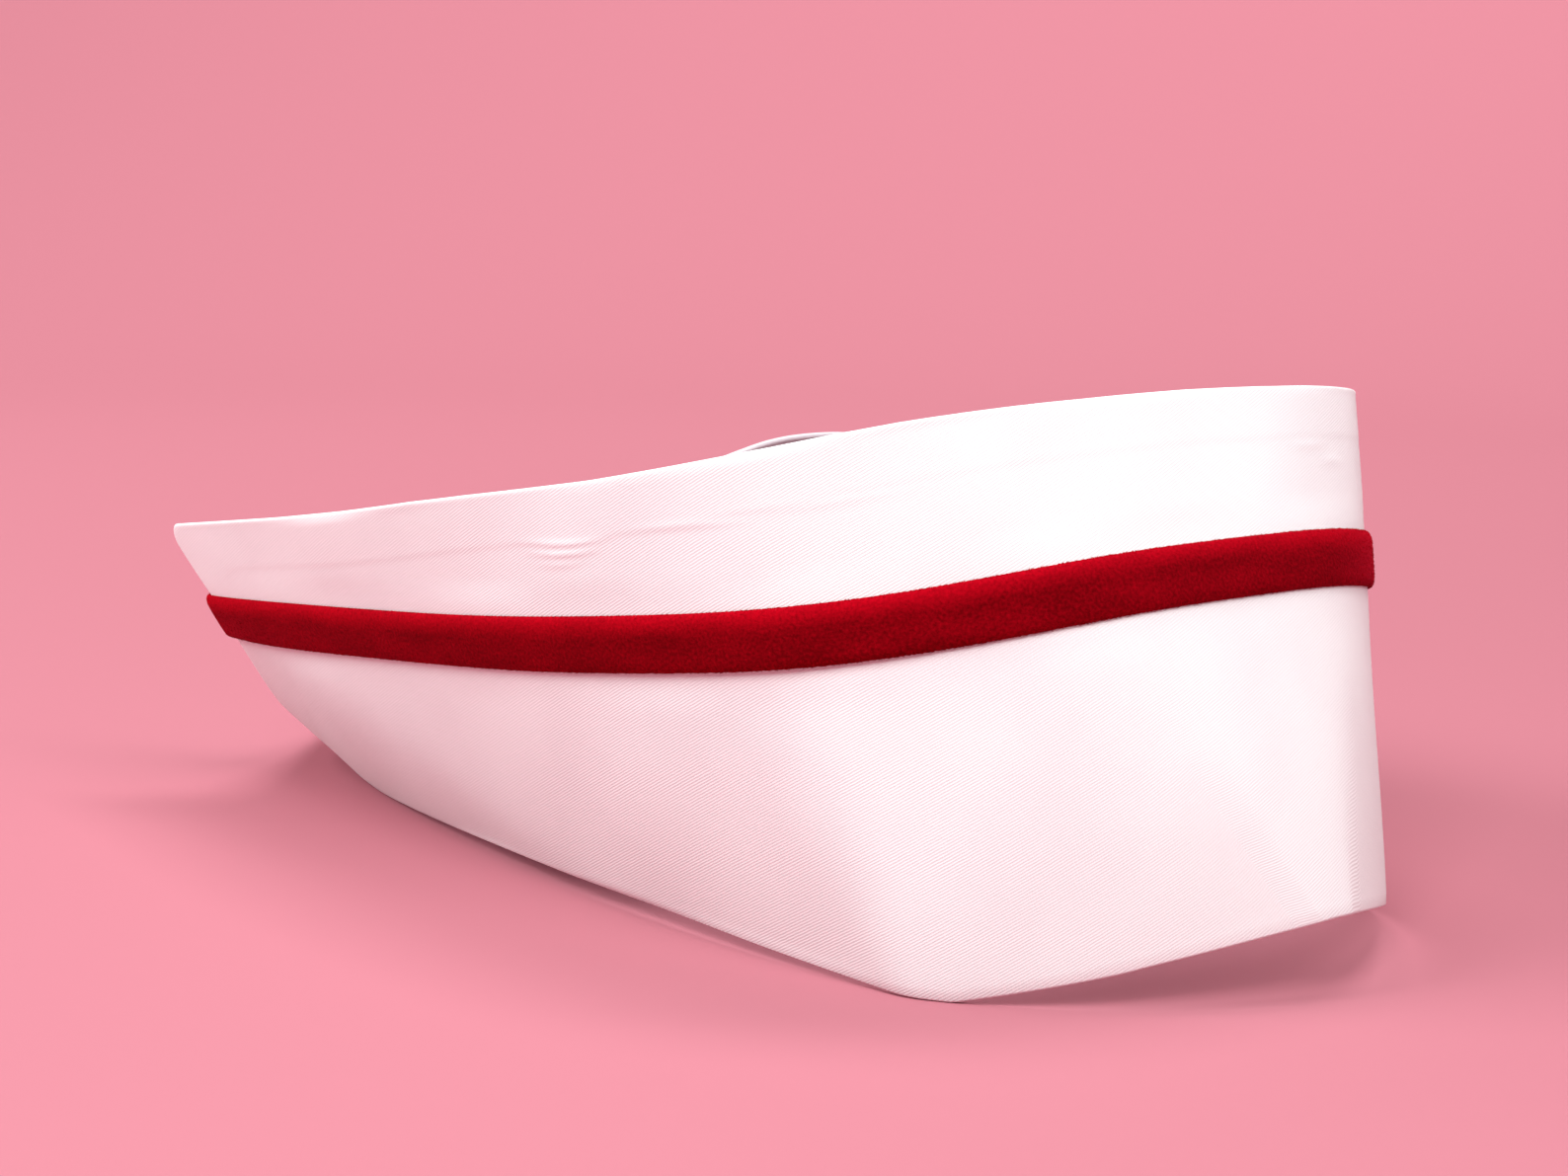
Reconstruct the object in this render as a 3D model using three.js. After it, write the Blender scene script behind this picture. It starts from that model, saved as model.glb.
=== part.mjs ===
// Nurse cap: a stiff folded cuff of starched cotton, a thin crown sheet inside it, and a velvet
// ribbon round the outside. Lengths in mm, +Z up, the front of the cap towards +X.
//
// The cuff is one sheet bent without stretching. Its flat pattern has x along the ribbon line, from
// the centre front, and y upwards. Each straight ruling of the bent sheet crosses the ribbon line
// at a distance s and leans by an angle; the sheet bends only across its rulings. The outer face
// follows the pattern, and the wall lies inside it.

import * as THREE from "three";

// Driving dimensions
const RIBBON_WIDTH = 10;
const RIBBON_THICK = 1.2;
const RIBBON_GAP = 0.3;
const RIBBON_TUCK = 11;
const CUFF_WALL = 1.5;
const CROWN_WALL = 1.1;
const CROWN_CLEARANCE = 1.2;
const CROWN_LIFT = 2.5;
const FRONT_HEIGHT = 66.1;
const FRONT_LEAN = 24.2;

// Bend of the cuff in radians per metre and lean of its rulings in degrees, by distance s
const BEND = [
  { s: 0, bend: 0.6, lean: 0 },
  { s: 36, bend: 17.3, lean: 28.5 },
  { s: 72, bend: 24.1, lean: 0.9 },
  { s: 108, bend: 1.6, lean: 28.5 },
  { s: 144, bend: 3.3, lean: 38.9 },
  { s: 180, bend: 0.5, lean: 51.3 },
  { s: 216, bend: 0.2, lean: 60.1 },
  { s: 252, bend: 3.9, lean: 63.3 },
  { s: 277, bend: 1.8, lean: 58.7 },
  { s: 302, bend: 8.9, lean: 46.1 },
  { s: 328, bend: 27.4, lean: 16.9 },
];

// Edges of the flat pattern: heights by the distance x from the centre front
const TOP_EDGE = [
  { x: 0, height: 30.8 },
  { x: 25, height: 30.6 },
  { x: 60, height: 30.8 },
  { x: 70, height: 30.6 },
  { x: 90, height: 29.5 },
  { x: 118, height: 27.7 },
  { x: 150, height: 26.5 },
  { x: 166, height: 25.7 },
  { x: 190, height: 24 },
  { x: 215, height: 22.5 },
  { x: 262, height: 20.2 },
];
const FRONT_LOWER_EDGE = [
  { x: 0, height: -58.6 },
  { x: 20, height: -59.1 },
  { x: 34, height: -59.7 },
  { x: 39, height: -60.1 },
  { x: 66.5, height: -60.6 },
];
const LOWER_CORNER = 66.5;

// Edges given as polynomials, in mm, of a distance in hundreds of mm: the lower edge behind the
// lower corner, and the back edge below the ribbon
const SIDE_LOWER_EDGE = [-60.6, 24.2, -8.85];
const BACK_EDGE = [0, 5, 140, 90];
const WING_END = 255.7;
const WING_SLANT = 0.4;
const TIP_RADIUS = 2.2;

// Crown: sections across the cap, by the distance behind its front hem
const CROWN = [
  { back: 0, height: 77.7, bulge: 6, pleat: 0 },
  { back: 2, height: 77, bulge: 6, pleat: 0 },
  { back: 23, height: 70.3, bulge: 6, pleat: 0.4 },
  { back: 51, height: 60.5, bulge: 5, pleat: 1.4 },
  { back: 79, height: 48, bulge: 4, pleat: 2.4 },
  { back: 106, height: 34, bulge: 2, pleat: 2.4 },
  { back: 125, height: 22, bulge: 1, pleat: 1.4 },
  { back: 140, height: 12, bulge: 0, pleat: 0.3 },
];
const CROWN_FRONT = -99;
const CROWN_DEPTH = CROWN[CROWN.length - 1].back;
const CROWN_SQUARENESS = 2.7;
const CROWN_HEM = 1.6;
const PLEATS = 5;

// Spacing of the stations along the cuff, and of the rows and columns of the crown
const STATIONS = [
  { from: 0, to: 36, step: 6 },
  { from: 36, to: 100, step: 4 },
  { from: 100, to: 240, step: 10 },
  { from: 240, to: 328, step: 4.4 },
];
const RIBBON_STATIONS = 52;
const CROWN_ROWS = 17;
const CROWN_COLUMNS = 40;

const STEP = 1;
const REACH = BEND[BEND.length - 1].s;
const WHITE = 0xf4f1f0;
const RED = 0x9c0a16;

const radians = (degrees) => (degrees * Math.PI) / 180;
const polynomial = (c, u) => c.reduceRight((sum, k) => sum * u + k, 0);

function between(table, key, column, at) {
  let i = 0;
  while (i < table.length - 2 && table[i + 1][key] < at) i += 1;
  const [a, b] = [table[i], table[i + 1]];
  const t = Math.min(1, Math.max(0, (at - a[key]) / (b[key] - a[key])));
  return a[column] + (b[column] - a[column]) * t;
}

// The moving frame along the ribbon line: t along the sheet, u up the sheet, n inwards. With bend k
// and lean b it turns as t' = k n, u' = w n, n' = -k t - w u, where w = -k tan b.
function bendSheet() {
  const tilt = radians(FRONT_LEAN);
  let t = new THREE.Vector3(0, -1, 0);
  let u = new THREE.Vector3(-Math.sin(tilt), 0, Math.cos(tilt));
  let n = new THREE.Vector3(-Math.cos(tilt), 0, -Math.sin(tilt));
  let p = new THREE.Vector3(0, 0, FRONT_HEIGHT);
  const frames = [{ p: p.clone(), t, u, n }];
  for (let s = 0; s < REACH; s += STEP) {
    const k = between(BEND, "s", "bend", s + STEP / 2) / 1000;
    const w = -k * Math.tan(radians(between(BEND, "s", "lean", s + STEP / 2)));
    const axis = t.clone().multiplyScalar(w).addScaledVector(u, -k);
    const angle = axis.length() * STEP;
    axis.normalize();
    const [t2, u2, n2] = [t, u, n].map((v) => v.clone().applyAxisAngle(axis, angle));
    p = p.clone().addScaledVector(t, STEP / 2).addScaledVector(t2, STEP / 2);
    [t, u, n] = [t2, u2, n2];
    frames.push({ p, t, u, n });
  }
  return frames;
}

const FRAMES = bendSheet();

// The point at height y on ruling s of the near side, lifted outwards from the cuff's outer face
function onRuling(s, y, lift) {
  const i = Math.min(FRAMES.length - 2, Math.floor(s / STEP));
  const f = s / STEP - i;
  const [a, b] = [FRAMES[i], FRAMES[i + 1]];
  const lean = Math.tan(radians(between(BEND, "s", "lean", s)));
  const mix = (key) => a[key].clone().lerp(b[key], f);
  const t = mix("t");
  return mix("p")
    .addScaledVector(mix("u"), y)
    .addScaledVector(t, y * lean)
    .addScaledVector(mix("n"), -lift);
}

// The ruling that passes through the point (x, y) of the flat pattern
function rulingAt(x, y) {
  let s = x;
  for (let i = 0; i < 60; i += 1) {
    const miss = x - y * Math.tan(radians(between(BEND, "s", "lean", s))) - s;
    s = Math.max(0, s + 0.5 * miss);
  }
  return s;
}

const topEdge = (x) => between(TOP_EDGE, "x", "height", x);

function lowerEdge(x) {
  if (x < LOWER_CORNER) return between(FRONT_LOWER_EDGE, "x", "height", x);
  return polynomial(SIDE_LOWER_EDGE, (x - LOWER_CORNER) / 100);
}

function endEdge(y) {
  const above = Math.max(0, y - RIBBON_WIDTH / 2);
  return WING_END + WING_SLANT * above + polynomial(BACK_EDGE, Math.max(0, -y) / 100);
}

// True below the top edge and before the end edge, with the wing tip between them rounded
function inPattern(x, y) {
  const slope = Math.hypot(1, WING_SLANT);
  const centreY = topEdge(WING_END) - TIP_RADIUS;
  const [dx, dy] = [x - endEdge(centreY) + TIP_RADIUS * slope, y - centreY];
  const atTip = dx > 0 && WING_SLANT * dx + dy > 0;
  return atTip ? Math.hypot(dx, dy) < TIP_RADIUS : y <= topEdge(x) && x <= endEdge(y);
}

// The height at which ruling s meets an edge of the pattern
function meetEdge(s, edge) {
  const lean = Math.tan(radians(between(BEND, "s", "lean", s)));
  let y = edge(s);
  for (let i = 0; i < 30; i += 1) y = 0.5 * y + 0.5 * edge(s + y * lean);
  return y;
}

// The upper end of ruling s: where it leaves the pattern
function upperEnd(s) {
  const lean = Math.tan(radians(between(BEND, "s", "lean", s)));
  let [low, high] = [meetEdge(s, lowerEdge), 2 * TOP_EDGE[0].height];
  for (let i = 0; i < 40; i += 1) {
    const y = (low + high) / 2;
    if (inPattern(s + y * lean, y)) low = y;
    else high = y;
  }
  return low;
}

// The lower end of ruling s: the pattern's lower edge, pressed level where it would pass the floor
function lowerEnd(s, lift) {
  const y = meetEdge(s, lowerEdge);
  if (onRuling(s, y, 0).z > 0) return y;
  const a = onRuling(s, y, lift).z;
  const b = onRuling(s, y + 1, lift).z;
  return y - a / (b - a);
}

const mirrored = (p) => new THREE.Vector3(p.x, -p.y, p.z);

// A closed wall between two grids of points of the same size, the first one facing outwards
function wallBetween(outer, inner) {
  const [rows, columns] = [outer.length, outer[0].length];
  const positions = [...outer.flat(), ...inner.flat()].flatMap((p) => [p.x, p.y, p.z]);
  const index = [];
  const at = (side, i, j) => side * rows * columns + i * columns + j;
  const quad = (a, b, c, d) => index.push(a, c, b, a, d, c);
  for (let i = 0; i < rows - 1; i += 1) {
    for (let j = 0; j < columns - 1; j += 1) {
      quad(at(0, i, j), at(0, i + 1, j), at(0, i + 1, j + 1), at(0, i, j + 1));
      quad(at(1, i, j), at(1, i, j + 1), at(1, i + 1, j + 1), at(1, i + 1, j));
    }
    quad(at(0, i, 0), at(1, i, 0), at(1, i + 1, 0), at(0, i + 1, 0));
    quad(at(0, i, columns - 1), at(0, i + 1, columns - 1), at(1, i + 1, columns - 1), at(1, i, columns - 1));
  }
  for (let j = 0; j < columns - 1; j += 1) {
    quad(at(0, 0, j), at(0, 0, j + 1), at(1, 0, j + 1), at(1, 0, j));
    quad(at(0, rows - 1, j), at(1, rows - 1, j), at(1, rows - 1, j + 1), at(0, rows - 1, j + 1));
  }
  const geometry = new THREE.BufferGeometry();
  geometry.setAttribute("position", new THREE.Float32BufferAttribute(positions, 3));
  geometry.setIndex(index);
  geometry.computeVertexNormals();
  return geometry;
}

// Stations along the cuff, with one moved to the ruling through each corner of the pattern
function cuffStations() {
  const tip = topEdge(WING_END);
  const corners = [
    rulingAt(LOWER_CORNER, lowerEdge(LOWER_CORNER)),
    rulingAt(endEdge(tip), tip),
    rulingAt(endEdge(0), 0),
  ];
  const stations = STATIONS.flatMap(({ from, to, step }) => {
    const count = Math.round((to - from) / step);
    return Array.from({ length: count }, (_, i) => from + i * step);
  });
  stations.push(REACH);
  for (const corner of corners) {
    const near = stations.reduce((a, b) => (Math.abs(b - corner) < Math.abs(a - corner) ? b : a));
    stations[stations.indexOf(near)] = corner;
  }
  return stations;
}

function cuffGrid(lift) {
  const heights = [0, 0.2, 0.4, 0.6, 0.8, 1];
  const column = (s) => {
    const [low, high] = [lowerEnd(s, lift), upperEnd(s)];
    return heights.map((h) => onRuling(s, low + (high - low) * h, lift));
  };
  const near = cuffStations().map(column);
  const far = near.slice(1).map((c) => c.map(mirrored)).reverse();
  return [...far, ...near];
}

function cuff() {
  return wallBetween(cuffGrid(0), cuffGrid(-CUFF_WALL));
}

// The ribbon's path: along the outside, round the wing end and back a little on the inside. Its lift
// is measured from the middle of the cuff's wall.
function ribbonPath(lift) {
  const path = [];
  for (let i = 0; i <= RIBBON_STATIONS; i += 1) path.push({ part: i / RIBBON_STATIONS, past: 0, lift });
  for (let i = 1; i < 6; i += 1) {
    const a = (Math.PI * i) / 6;
    path.push({ part: 1, past: Math.abs(lift) * Math.sin(a), lift: lift * Math.cos(a) });
  }
  path.push({ part: 1, past: 0, lift: -lift });
  path.push({ part: 1, past: -RIBBON_TUCK / 2, lift: -lift });
  path.push({ part: 1, past: -RIBBON_TUCK, lift: -lift });
  return path;
}

function ribbonGrid(lift) {
  const heights = [-1, 0, 1].map((h) => (h * RIBBON_WIDTH) / 2);
  const near = ribbonPath(lift).map((step) =>
    heights.map((y) => {
      const x = step.part * (endEdge(y) + RIBBON_GAP) + step.past;
      return onRuling(rulingAt(x, y), y, step.lift - CUFF_WALL / 2);
    }),
  );
  const far = near.slice(1).map((c) => c.map(mirrored)).reverse();
  return [...far, ...near];
}

function velvetBand() {
  const base = CUFF_WALL / 2 + RIBBON_GAP;
  return wallBetween(ribbonGrid(base + RIBBON_THICK), ribbonGrid(base));
}

// The crown's feet follow the inside of the cuff just above its lower edge
function crownFoot(x) {
  const foot = (s) => onRuling(s, lowerEnd(s, 0) + CROWN_LIFT, -CUFF_WALL - CROWN_CLEARANCE);
  let [low, high] = [120, REACH - 1];
  for (let i = 0; i < 40; i += 1) {
    const s = (low + high) / 2;
    if (foot(s).x > x) low = s;
    else high = s;
  }
  return foot(low);
}

// A section of the crown: a rounded arch between its feet, with pleats that grow to the back
function crownPoint(back, across, foot) {
  const height = between(CROWN, "back", "height", back);
  const bulge = between(CROWN, "back", "bulge", back);
  const pleat = between(CROWN, "back", "pleat", back);
  const a = Math.PI * across;
  const power = 2 / CROWN_SQUARENESS;
  const fold = pleat * Math.sin(a) * Math.abs(Math.sin(PLEATS * a));
  const side = -Math.sign(Math.cos(a)) * Math.abs(Math.cos(a)) ** power;
  const y = side * (Math.abs(foot.y) + bulge * Math.sin(a) - fold);
  const z = foot.z + (height - foot.z - fold) * Math.sin(a) ** power;
  return new THREE.Vector3(CROWN_FRONT - back, y, z);
}

function crownMiddle() {
  const hem = CROWN[1].back;
  const rows = [0];
  for (let i = 0; i <= CROWN_ROWS; i += 1) rows.push(hem + ((CROWN_DEPTH - hem) * i) / CROWN_ROWS);
  return rows.map((back) => {
    const foot = crownFoot(CROWN_FRONT - back);
    const row = [];
    for (let j = 0; j <= CROWN_COLUMNS; j += 1) row.push(crownPoint(back, j / CROWN_COLUMNS, foot));
    return row;
  });
}

function crown() {
  const middle = crownMiddle();
  const rows = middle.length;
  const columns = middle[0].length;
  const lifted = (side) =>
    middle.map((row, i) =>
      row.map((p, j) => {
        const along = middle[Math.min(rows - 1, i + 1)][j].clone().sub(middle[Math.max(0, i - 1)][j]);
        const across = row[Math.min(columns - 1, j + 1)].clone().sub(row[Math.max(0, j - 1)]);
        const normal = across.cross(along).normalize();
        const wall = i < 2 ? CROWN_HEM : CROWN_WALL;
        return p.clone().addScaledVector(normal, (side * wall) / 2);
      }),
    );
  return wallBetween(lifted(1), lifted(-1));
}

function named(name, geometry, colour, roughness) {
  const material = new THREE.MeshStandardMaterial({ color: colour, roughness, metalness: 0 });
  const mesh = new THREE.Mesh(geometry, material);
  mesh.name = name;
  return mesh;
}

const pieces = [
  named("cuff", cuff(), WHITE, 0.8),
  named("crown", crown(), WHITE, 0.85),
  named("velvet_band", velvetBand(), RED, 0.95),
];

// The origin is the middle of the footprint, on the floor
const bounds = new THREE.Box3();
for (const piece of pieces) {
  piece.geometry.computeBoundingBox();
  bounds.union(piece.geometry.boundingBox);
}
const middle = bounds.getCenter(new THREE.Vector3());
for (const piece of pieces) piece.geometry.translate(-middle.x, 0, -bounds.min.z);

const cap = new THREE.Group();
cap.name = "nurse_cap";
cap.add(...pieces);

export default cap;
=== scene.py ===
# %% [markdown]
# # A starched nurse cap with a velvet ribbon
# The cap is three pieces of cloth: a stiff cuff, a thin crown inside it and a ribbon round the outside.
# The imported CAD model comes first, as a fixed frame. Each piece of cloth then takes the place of its
# solid. Shapes are worked out in mm, and turned into the frame's metres when their mesh is made.

# %% Load the frame
import math

import bpy
import numpy as np
from mathutils import Matrix, Vector


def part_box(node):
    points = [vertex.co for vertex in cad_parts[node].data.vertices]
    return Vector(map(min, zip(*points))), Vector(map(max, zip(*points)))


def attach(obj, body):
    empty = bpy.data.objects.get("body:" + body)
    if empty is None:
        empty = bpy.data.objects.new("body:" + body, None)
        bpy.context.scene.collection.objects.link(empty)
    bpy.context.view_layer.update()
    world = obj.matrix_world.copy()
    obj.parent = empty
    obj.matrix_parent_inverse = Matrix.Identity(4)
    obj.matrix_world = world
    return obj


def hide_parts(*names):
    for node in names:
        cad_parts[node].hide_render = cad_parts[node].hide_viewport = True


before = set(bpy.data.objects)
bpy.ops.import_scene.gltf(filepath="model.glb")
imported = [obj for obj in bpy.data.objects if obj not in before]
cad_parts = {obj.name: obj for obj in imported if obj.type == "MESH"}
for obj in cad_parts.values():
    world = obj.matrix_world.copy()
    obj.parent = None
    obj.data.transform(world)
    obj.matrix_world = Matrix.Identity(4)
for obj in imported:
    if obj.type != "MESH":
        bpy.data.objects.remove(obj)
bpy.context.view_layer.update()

MM = 0.001

# %% [markdown]
# ## The camera
# The view was worked out together with the cap's form, so it is given as a place, three angles and a
# lens. A small roll is kept, because the cap leans by as much in the picture.

# %% Camera
CAMERA_PLACE = (0.4195, -0.3973, 0.1386)
CAMERA_TURN = math.radians(46.34)
CAMERA_DROP = math.radians(8.894)
CAMERA_ROLL = math.radians(1.644)
CAMERA_LENS = 71.03
SENSOR_WIDTH = 36


def add_camera():
    """Looks along (-sin a cos e, cos a cos e, -sin e), rolled about that line."""
    a, e, roll = CAMERA_TURN, CAMERA_DROP, CAMERA_ROLL
    forward = Vector((-math.sin(a) * math.cos(e), math.cos(a) * math.cos(e), -math.sin(e)))
    level = Vector((math.cos(a), math.sin(a), 0))
    upright = level.cross(forward)
    right = level * math.cos(roll) + upright * math.sin(roll)
    up = upright * math.cos(roll) - level * math.sin(roll)
    data = bpy.data.cameras.new("camera")
    data.sensor_width = SENSOR_WIDTH
    data.sensor_fit = "HORIZONTAL"
    data.lens = CAMERA_LENS
    data.clip_start = 0.01
    data.clip_end = 20
    camera = bpy.data.objects.new("camera", data)
    turn = Matrix((right, up, -forward)).transposed()
    camera.matrix_world = Matrix.Translation(CAMERA_PLACE) @ turn.to_4x4()
    bpy.context.scene.collection.objects.link(camera)
    bpy.context.scene.camera = camera


add_camera()
print("the camera stands", round(Vector(CAMERA_PLACE).length, 3), "metres from the cap")

# %% [markdown]
# ## The bent sheet
# A starched cuff is a flat cut-out that was bent but never stretched. Such a surface is made of straight
# rulings. We could model it by eye with control points, but then the cloth would stretch somewhere.
# Instead one short table says how sharply it bends along the ribbon line and how much the rulings lean,
# and every point follows from it. This keeps the ribbon, the hem and the weave true to the flat pattern.

# %% Sizes of the cuff, in mm
CUFF_WALL = 1.5
FRONT_HEIGHT = 66.1
FRONT_LEAN = 24.2
BEND_SOFT = 14


def table(headings, *rows):
    """Rows of numbers as one array for each heading."""
    return dict(zip(headings, np.array(rows, float).T))


# The distance is in mm along the ribbon line, the bend in radians per metre and the lean in degrees.
BEND = table(
    ("distance", "bend", "lean"),
    (0, 0.6, 0.0),
    (36, 17.3, 28.5),
    (72, 24.1, 0.9),
    (108, 1.6, 28.5),
    (144, 3.3, 38.9),
    (180, 0.5, 51.3),
    (216, 0.2, 60.1),
    (252, 3.9, 63.3),
    (277, 1.8, 58.7),
    (302, 8.9, 46.1),
    (328, 27.4, 16.9),
)
REACH = BEND["distance"][-1]


# %% The sheet's moving frame
def lean(s):
    """Tangent of the ruling's lean at distance s."""
    return np.tan(np.radians(np.interp(s, BEND["distance"], BEND["lean"])))


def bend(s):
    """The table's bend in radians per mm, softened over BEND_SOFT mm, for s in even steps of 1 mm."""
    sharp = np.interp(s, BEND["distance"], BEND["bend"]) / 1000
    soft = np.hanning(2 * BEND_SOFT + 1)
    return np.convolve(np.pad(sharp, BEND_SOFT, mode="edge"), soft / soft.sum(), mode="valid")


def turned(frame_rows, k, w):
    """The frame after a step in which t' = k n, u' = w n and n' = -k t - w u, by Rodrigues' formula."""
    rate = np.array([[0, 0, k], [0, 0, w], [-k, -w, 0]])
    angle = math.hypot(k, w)
    turn = np.eye(3) + math.sin(angle) / angle * rate + (1 - math.cos(angle)) / angle**2 * rate @ rate
    return turn @ frame_rows


def frames_along():
    """Places p and frames (t along, u up, n inwards), one for each mm. The frame turns with the bend
    k and the twist w = -k tan(lean), and each place is a step along the mean of two t's."""
    steps = int(REACH)
    middle = np.arange(steps) + 0.5
    k = bend(middle)
    w = -k * lean(middle)
    tilt = math.radians(FRONT_LEAN)
    frames = np.empty((steps + 1, 3, 3))
    frames[0, 0] = (0, -1, 0)
    frames[0, 1] = (-math.sin(tilt), 0, math.cos(tilt))
    frames[0, 2] = (-math.cos(tilt), 0, -math.sin(tilt))
    for i in range(steps):
        frames[i + 1] = turned(frames[i], k[i], w[i])
    places = np.zeros((steps + 1, 3))
    places[0, 2] = FRONT_HEIGHT
    places[1:] = places[0] + np.cumsum((frames[1:, 0] + frames[:-1, 0]) / 2, axis=0)
    return places, frames


PLACES, FRAMES = frames_along()
print("the sheet bends over", REACH, "mm on each side of the centre front")

# %% Points of the bent sheet
RULING_STEPS = 60


def on_ruling(s, y, lift):
    """p(s) + y (u + tan(lean) t) - lift n, in mm, for arrays of one shape."""
    s, y, lift = np.broadcast_arrays(np.asarray(s, float), y, lift)
    marks = np.arange(len(PLACES))
    columns = (PLACES, FRAMES[:, 0], FRAMES[:, 1], FRAMES[:, 2])
    place, t, u, n = (
        np.stack([np.interp(s, marks, column[:, i]) for i in range(3)], axis=-1) for column in columns)
    return place + y[..., None] * (u + lean(s)[..., None] * t) - lift[..., None] * n


def ruling_at(x, y):
    """The ruling s through the point (x, y) of the flat pattern: s = x - y tan(lean(s))."""
    s = x.copy()
    for _ in range(RULING_STEPS):
        s = np.clip(s + 0.5 * (x - y * lean(s) - s), 0, REACH)
    return s


# %% [markdown]
# ## The flat pattern's edges
# The pattern's x runs along the ribbon line from the centre front, and its y up from that line. The top
# edge and the front lower edge are short tables, and the other edges short polynomials. A ruling starts
# at the lower edge and ends at the top edge, or at the slanted end behind the wing tip. The worn cap is
# pressed level where it stands, so the lower edge is cut where it would pass below the ground.

# %% Edges of the flat pattern, in mm
RIBBON_WIDTH = 10
TOP_EDGE = table(
    ("x", "y"),
    (0, 30.8),
    (25, 30.6),
    (60, 30.8),
    (70, 30.6),
    (90, 29.5),
    (118, 27.7),
    (150, 26.5),
    (166, 25.7),
    (190, 24.0),
    (215, 22.5),
    (262, 20.2),
)
LOWER_CORNER = 66.5
CORNER_DEPTH = -60.6
FRONT_LOWER_EDGE = table(
    ("x", "y"),
    (0, -58.6),
    (20, -59.1),
    (34, -59.7),
    (39, -60.1),
    (LOWER_CORNER, CORNER_DEPTH),
)
SIDE_LOWER_EDGE = (CORNER_DEPTH, 24.2, -8.85)
BACK_EDGE = (0, 5, 140, 90)
WING_END = 255.7
WING_SLANT = 0.4
TIP_RADIUS = 3.6


def along_table(edge, x):
    """Height of a table's edge at x, straight between its rows."""
    return np.interp(x, edge["x"], edge["y"])


def polynomial(parts, x):
    """The sum of parts[i] (x / 100) to the power i."""
    return np.polyval(parts[::-1], x / 100)


def top_edge(x):
    """Height of the top edge at x."""
    return along_table(TOP_EDGE, x)


def lower_edge(x):
    """Height of the lower edge at x: a table in front of the corner and a curve behind it."""
    side = polynomial(SIDE_LOWER_EDGE, x - LOWER_CORNER)
    return np.where(x < LOWER_CORNER, along_table(FRONT_LOWER_EDGE, x), side)


def end_edge(y):
    """Where the sheet ends at height y: the slanted wing end above the ribbon, the back edge below."""
    above = np.maximum(y - RIBBON_WIDTH / 2, 0)
    return WING_END + WING_SLANT * above + polynomial(BACK_EDGE, np.maximum(-y, 0))


def in_pattern(x, y):
    """True below the top edge and before the end edge, inside the rounded wing tip."""
    centre_y = top_edge(WING_END) - TIP_RADIUS
    dx = x - end_edge(centre_y) + TIP_RADIUS * math.hypot(1, WING_SLANT)
    dy = y - centre_y
    at_tip = (dx > 0) & (WING_SLANT * dx + dy > 0)
    return np.where(at_tip, np.hypot(dx, dy) < TIP_RADIUS, (y <= top_edge(x)) & (x <= end_edge(y)))


front_edge_height = float(top_edge(0.0) - lower_edge(0.0))
print("the flat pattern is", round(front_edge_height, 1), "mm high at the centre front")

# %% Ends of a ruling
EDGE_STEPS = 40


def meet(s, edge):
    """Height at which ruling s crosses an edge, by halving steps."""
    y = edge(s)
    for _ in range(EDGE_STEPS):
        y = 0.5 * y + 0.5 * edge(s + y * lean(s))
    return y


def upper_end(s):
    """Height of the ruling's upper end, where it leaves the pattern, by bisection."""
    low, high = meet(s, lower_edge), np.full_like(s, 2 * TOP_EDGE["y"][0])
    for _ in range(EDGE_STEPS):
        y = (low + high) / 2
        inside = in_pattern(s + y * lean(s), y)
        low, high = np.where(inside, y, low), np.where(inside, high, y)
    return low


def lower_end(s):
    """Height of the ruling's lower end, raised to the ground where it would pass below it."""
    y = meet(s, lower_edge)
    here = on_ruling(s, y, 0)[..., 2]
    above = on_ruling(s, y + 1, 0)[..., 2]
    return np.where(here < 0, y - here / (above - here), y)


# %% [markdown]
# ## From the pattern to Blender
# The CAD model is centred on its footprint, so the sheet is moved along X until its front edge meets the
# CAD cuff's front. A cloth wall could come from a Solidify modifier, but its rounded edges and its hem
# need their own points. So each piece is made from closed loops, one at each station along it, and
# neighbouring loops are joined by quads.

# %% Placing helpers
front_edge = on_ruling(0, lower_end(np.array([0.0])), 0)[0, 0]
SHIFT = np.array([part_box("cuff")[1][0] / MM - front_edge, 0, 0])
print("the sheet moves along X by", round(float(SHIFT[0]), 2), "mm")


def placed(points):
    """Points in mm to the row frame in metres."""
    return (points + SHIFT) * MM


def mirrored(points):
    """The same points on the other side of the plane Y = 0."""
    return points * np.array([1, -1, 1])


def both_sides(near, far):
    """Far stations from the back to the front, then the near ones, sharing the front station."""
    return np.concatenate([far[:0:-1], near])


# %% Mesh helpers
def ring_faces(rings, around):
    """Quads (i, j), (i + 1, j), (i + 1, j + 1), (i, j + 1) between neighbouring closed rings."""
    i, j = np.meshgrid(np.arange(rings - 1), np.arange(around), indexing="ij")
    k = (j + 1) % around
    quads = (i * around + j, (i + 1) * around + j, (i + 1) * around + k, i * around + k)
    return np.stack(quads, axis=-1).reshape(-1, 4)


def loop_faces(stations, around):
    """Quads between the loops of a wall, and a ladder of quads over its first and its last loop."""
    j = np.arange(around // 2 - 1)
    ladder = np.stack([j, j + 1, around - 2 - j, around - 1 - j], axis=-1)
    last_ladder = (stations - 1) * around + ladder[:, ::-1]
    return np.concatenate([ring_faces(stations, around), ladder, last_ladder])


def outwards(points, faces):
    """The quads, turned round if the volume that they enclose comes out negative. Six times that
    volume is the sum of a . (b x c) over the two triangles of each quad."""
    a, b, c, d = (points[faces[:, i]] for i in range(4))
    volume = (np.cross(b, c) * a).sum() + (np.cross(c, d) * a).sum()
    return faces[:, ::-1] if volume < 0 else faces


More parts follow.
